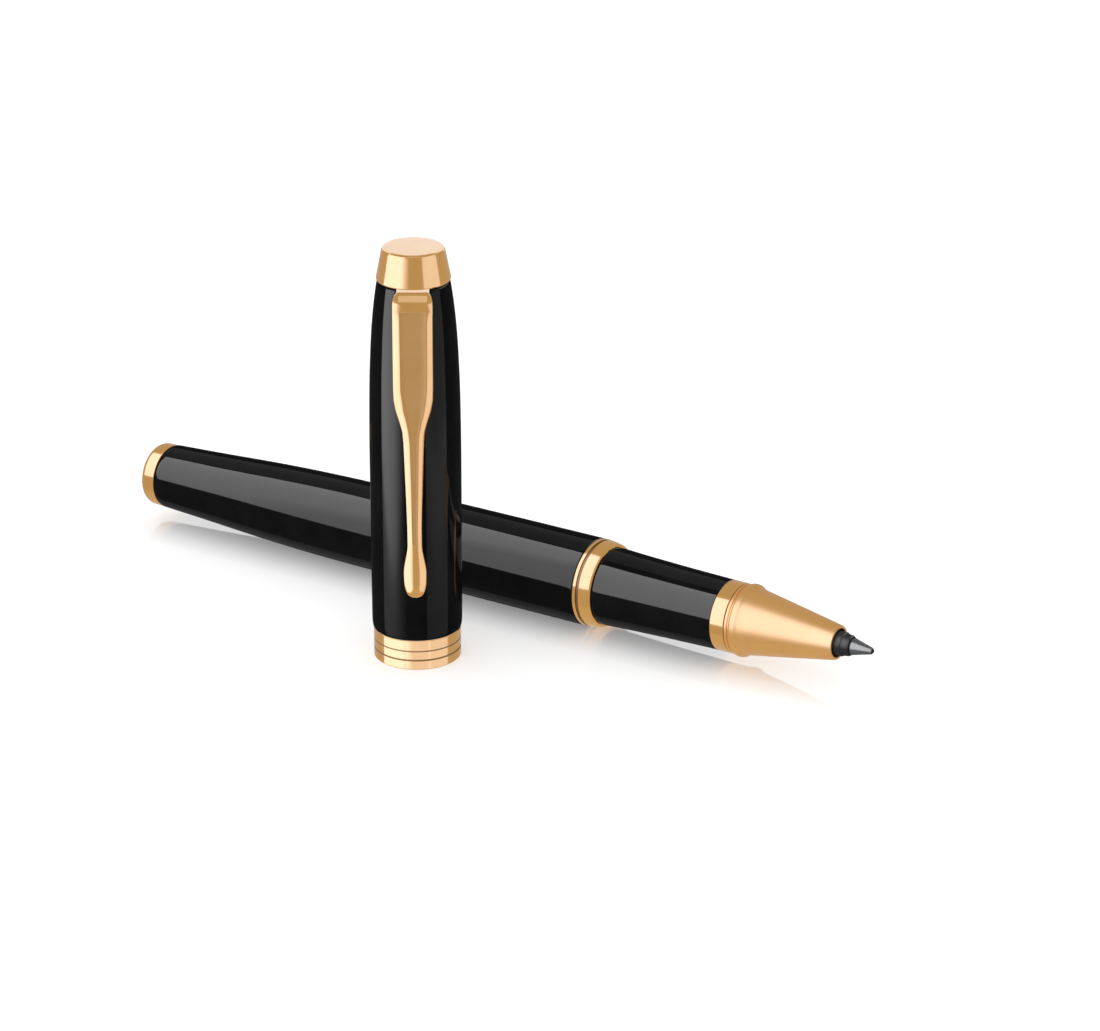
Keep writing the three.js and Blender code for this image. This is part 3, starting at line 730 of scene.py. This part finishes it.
PEN_BLACK = ["barrel_shell_lacquer", "section_grip_lacquer", "refill_nose_plastic", "refill_tube_plastic", "refill_tail_plug_plastic", "section_seal_rubber"]
CAP_BLACK = ["cap_shell_lacquer", "cap_liner_plastic"]
PEN_GOLD = ["barrel_end_cap_gold", "trim_ring_gold", "section_front_ring_gold", "nose_cone_satin", "barrel_thread_insert_brass", "section_thread_sleeve_brass"]
CAP_GOLD = ["cap_band_gold", "cap_finial_gold", "clip_gold", "finial_nut_brass"]
STEEL = ["refill_tip_steel", "writing_ball_carbide", "refill_spring_wire", "finial_stud_steel"]
R_PEN_BLACK = receivers("light_pen_black", PEN_BLACK)
R_CAP_BLACK = receivers("light_cap_black", CAP_BLACK)
R_BLACK = receivers("light_black", PEN_BLACK, CAP_BLACK)
R_CAP_GOLD = receivers("light_cap_gold", CAP_GOLD)
R_GOLD = receivers("light_gold", PEN_GOLD, CAP_GOLD)
R_BARREL = receivers("light_barrel", ["barrel_shell_lacquer", "section_seal_rubber"])
R_GRIP = receivers("light_grip", ["section_grip_lacquer", "refill_nose_plastic", "refill_tube_plastic", "refill_tail_plug_plastic"])
R_END = receivers("light_end", ["barrel_end_cap_gold", "barrel_thread_insert_brass", "section_thread_sleeve_brass"])
R_BAND = receivers("light_band", ["cap_band_gold"])
R_TRIM = receivers("light_trim", ["trim_ring_gold"])
R_NOSE = receivers("light_nose", ["section_front_ring_gold", "nose_cone_satin"])
R_STEEL = receivers("light_steel", STEEL)
R_FLOOR = bpy.data.collections.new("light_floor")
R_FLOOR.objects.link(floor)

COOL = (1.0, 1.40, 3.5)
WHITE = (1.0, 1.0, 1.0)
CAM_AZ = math.pi / 2 * 3 + TURN            # direction from the pen to the camera, seen from above
PEN_MID = Vector((0.0, AXIS_Y, AXIS_Z))


def area(name, where, look, width, height, radiance, coll, colour=WHITE, across=None, up=None, roll_up=None):
    """Soft rectangle. across / up: [(position 0..1, level)] along its width (to its own right) and height (upwards)."""
    data = bpy.data.lights.new(name, "AREA")
    data.shape = "RECTANGLE"
    data.size, data.size_y = width, height
    data.energy = radiance * math.pi * width * height
    data.color = colour
    ob = bpy.data.objects.new(name, data)
    bpy.context.scene.collection.objects.link(ob)
    z = (Vector(where) - Vector(look)).normalized()
    u = Vector(roll_up) if roll_up else Vector((0, 0, 1))
    x = u.cross(z)
    x = x.normalized() if x.length > 1e-6 else Vector((1, 0, 0))
    y = z.cross(x)
    ob.matrix_world = Matrix(((x.x, y.x, z.x, where[0]), (x.y, y.y, z.y, where[1]), (x.z, y.z, z.z, where[2]), (0, 0, 0, 1)))
    ob.visible_camera = False
    ob.light_linking.receiver_collection = coll
    if across or up:
        data.use_nodes = True
        nt = data.node_tree
        nt.nodes.clear()
        out = nt.nodes.new("ShaderNodeOutputLight")
        em = nt.nodes.new("ShaderNodeEmission")
        geo = nt.nodes.new("ShaderNodeNewGeometry")
        sp = nt.nodes.new("ShaderNodeSeparateXYZ")
        nt.links.new(geo.outputs["Parametric"], sp.inputs[0])
        level = None
        for axis, stops in (("X", across), ("Y", up)):
            if not stops:
                continue
            cr = nt.nodes.new("ShaderNodeValToRGB")
            el = cr.color_ramp.elements
            top = max(v for _, v in stops)
            el[0].position, el[0].color = stops[0][0], (stops[0][1] / top,) * 3 + (1,)
            el[1].position, el[1].color = stops[-1][0], (stops[-1][1] / top,) * 3 + (1,)
            for pos, v in stops[1:-1]:
                e = el.new(pos)
                e.color = (v / top,) * 3 + (1,)
            nt.links.new(sp.outputs[axis], cr.inputs["Fac"])
            got = math_node(nt, "MULTIPLY", cr.outputs["Color"], top)
            level = got if level is None else math_node(nt, "MULTIPLY", level, got)
        nt.links.new(level, em.inputs["Strength"])
        em.inputs["Color"].default_value = (1, 1, 1, 1)
        nt.links.new(em.outputs[0], out.inputs["Surface"])
    return ob


def around(name, centre, az0, az1, z0, z1, dist, radiance, coll, colour=WHITE, across=None, up=None):
    """Upright panel that fills the directions az0..az1 (degrees from the camera's side, + to the right) and heights z0..z1."""
    mid, halfa = math.radians((az0 + az1) / 2), math.radians((az1 - az0) / 2)
    a = CAM_AZ + mid
    d = Vector((math.cos(a), math.sin(a), 0))
    pos = Vector((centre.x, centre.y, (z0 + z1) / 2)) + d * dist
    return area(name, pos, pos - d, 2 * dist * math.tan(halfa), z1 - z0, radiance, coll, colour, across, up)


def along_pen(name, b0, b1, dist, x0, x1, radiance, coll, colour=WHITE, across=None, up=None, roll=0.0):
    """Panel parallel to the pen that fills the angles b0..b1 (degrees above the near side's horizon) round its axis."""
    mid, halfb = math.radians((b0 + b1) / 2), math.radians((b1 - b0) / 2)
    d = Vector((0, -math.cos(mid), math.sin(mid)))
    pos = PEN_MID + d * dist + Vector(((x0 + x1) / 2, 0, 0))
    rise = Vector((0, math.sin(mid), math.cos(mid))) * math.cos(math.radians(roll)) + Vector((math.sin(math.radians(roll)), 0, 0))
    return area(name, pos, pos - d, x1 - x0, 2 * dist * math.tan(halfb), radiance, coll, colour, across, up, roll_up=rise)


def dome(name, radiance, coll, levels=(1, 1, 1, 1, 1, 1), size=4.0, shadow=True):
    dirs = (Vector((1, 0, 0)), Vector((-1, 0, 0)), Vector((0, 1, 0)), Vector((0, -1, 0)), Vector((0, 0, 1)), Vector((0, 0, -1)))
    for i, (d, k) in enumerate(zip(dirs, levels)):
        if k > 0:
            ob = area(f"{name}_{i}", d * size / 2, (0, 0, 0), size, size, radiance * k, coll, roll_up=(0, 1, 0) if i > 3 else None)
            ob.data.use_shadow = shadow


dome("gold_dome", 0.5, R_GOLD, (1, 1, 1, 1, 1, 1.15))
dome("steel_dome", 0.10, R_STEEL, (1, 1, 1, 1, 1, 1))
dome("floor_dome", 1.05, R_FLOOR, (1, 1, 1, 1, 1, 0), shadow=False)

# pen: long soft boxes on the near side, each from about the horizon to overhead
REAR = dict(b0=4, b1=97, dist=0.5, x0=-1.2, x1=0.6)
BARREL = dict(b0=-2, b1=88, dist=0.5, x0=-0.95, x1=0.25)
GRIP = dict(b0=-2, b1=80, dist=0.5, x0=-1.2, x1=0.6)
NOSE = dict(b0=-14, b1=74, dist=0.5, x0=-1.2, x1=0.6)
along_pen("barrel_key", radiance=1.0, coll=R_BARREL, across=[(0.0, 1.06), (0.47, 1.06), (0.56, 0.78), (1.0, 0.78)], up=[(0.0, 2.2), (0.5, 2.5), (1.0, 2.8)], roll=30, **BARREL)
along_pen("grip_key", radiance=1.0, coll=R_GRIP, up=[(0.0, 2.5), (0.5, 2.8), (1.0, 3.3)], **GRIP)
along_pen("barrel_top", 97.5, 150, 0.5, -1.2, 0.6, 0.15, R_PEN_BLACK)
along_pen("end_key", radiance=0.86, coll=R_END, colour=COOL, **REAR)
along_pen("nose_key", radiance=0.84, coll=R_NOSE, colour=COOL, **NOSE)
along_pen("trim_key", radiance=0.86, coll=R_TRIM, colour=COOL, b0=2, b1=94, dist=0.5, x0=-1.2, x1=0.6)
along_pen("tip_key", radiance=0.6, coll=R_STEEL, **NOSE)
along_pen("floor_bounce", -128, -84, 0.5, -1.2, 0.6, 0.10, R_PEN_BLACK)
area("far_side_steel", (0.35, 0.75, 0.4), (0, 0, 0), 0.8, 0.6, 0.8, R_STEEL)
area("far_side_black", (0.45, 0.75, 0.5), (0, 0, 0), 0.9, 0.6, 2.2, R_BLACK)

# cap: a tall box on the left, a weaker one on the right
LEFT_UP = [(0.0, 0.3), (0.255, 0.55), (0.2745, 0.85), (0.292, 2.0), (0.316, 2.4), (0.36, 2.7), (1.0, 3.4)]
RIGHT_UP = [(0.0, 0.2), (0.26, 0.24), (0.30, 0.40), (0.32, 0.45), (0.36, 0.30), (1.0, 0.30)]
around("cap_left_black", CAP, -91, -26, -0.25, 0.25, 0.30, 1.0, R_CAP_BLACK, across=[(0.0, 0.85), (0.25, 1.0), (0.55, 0.85), (0.85, 0.25), (1.0, 0.05)], up=LEFT_UP)
around("cap_right_black", CAP, 27, 86, -0.25, 0.25, 0.30, 1.0, R_CAP_BLACK, up=RIGHT_UP)
around("cap_left_gold", CAP, -98, -14, -0.30, 0.25, 0.30, 0.9, R_CAP_GOLD, COOL, across=[(0.0, 1.0), (0.68, 1.0), (0.82, 0.45), (1.0, 0.05)])
around("cap_right_gold", CAP, 32, 88, -0.30, 0.25, 0.30, 0.42, R_CAP_GOLD, COOL)
around("cap_back_gold", CAP, 140, 220, 0.03, 0.40, 0.40, 0.46, R_CAP_GOLD, (1.0, 1.55, 3.1))
around("band_front", CAP, -30, 34, -0.25, 0.25, 0.30, 0.42, R_BAND, COOL)
_a = Vector((math.cos(CAM_AZ), math.sin(CAM_AZ), 0))
area("cap_over_gold", CAP + _a * 0.25 + Vector((0, 0, 0.62)), CAP, 0.5, 0.5, 0.25, R_CAP_GOLD, COOL)

for ob in bpy.data.objects:
    if ob.name in ("cap_shell_lacquer", "cap_liner_plastic", "cap_band_gold", "cap_finial_gold", "clip_gold", "finial_stud_steel", "finial_nut_brass"):
        ob.visible_glossy = False          # keeps the standing cap out of the barrel's gloss

bpy.context.scene.view_settings.view_transform = "Standard"
bpy.context.scene.view_settings.look = "None"
bpy.context.scene.view_settings.exposure = 0.0
bpy.context.scene.view_settings.gamma = 1.0
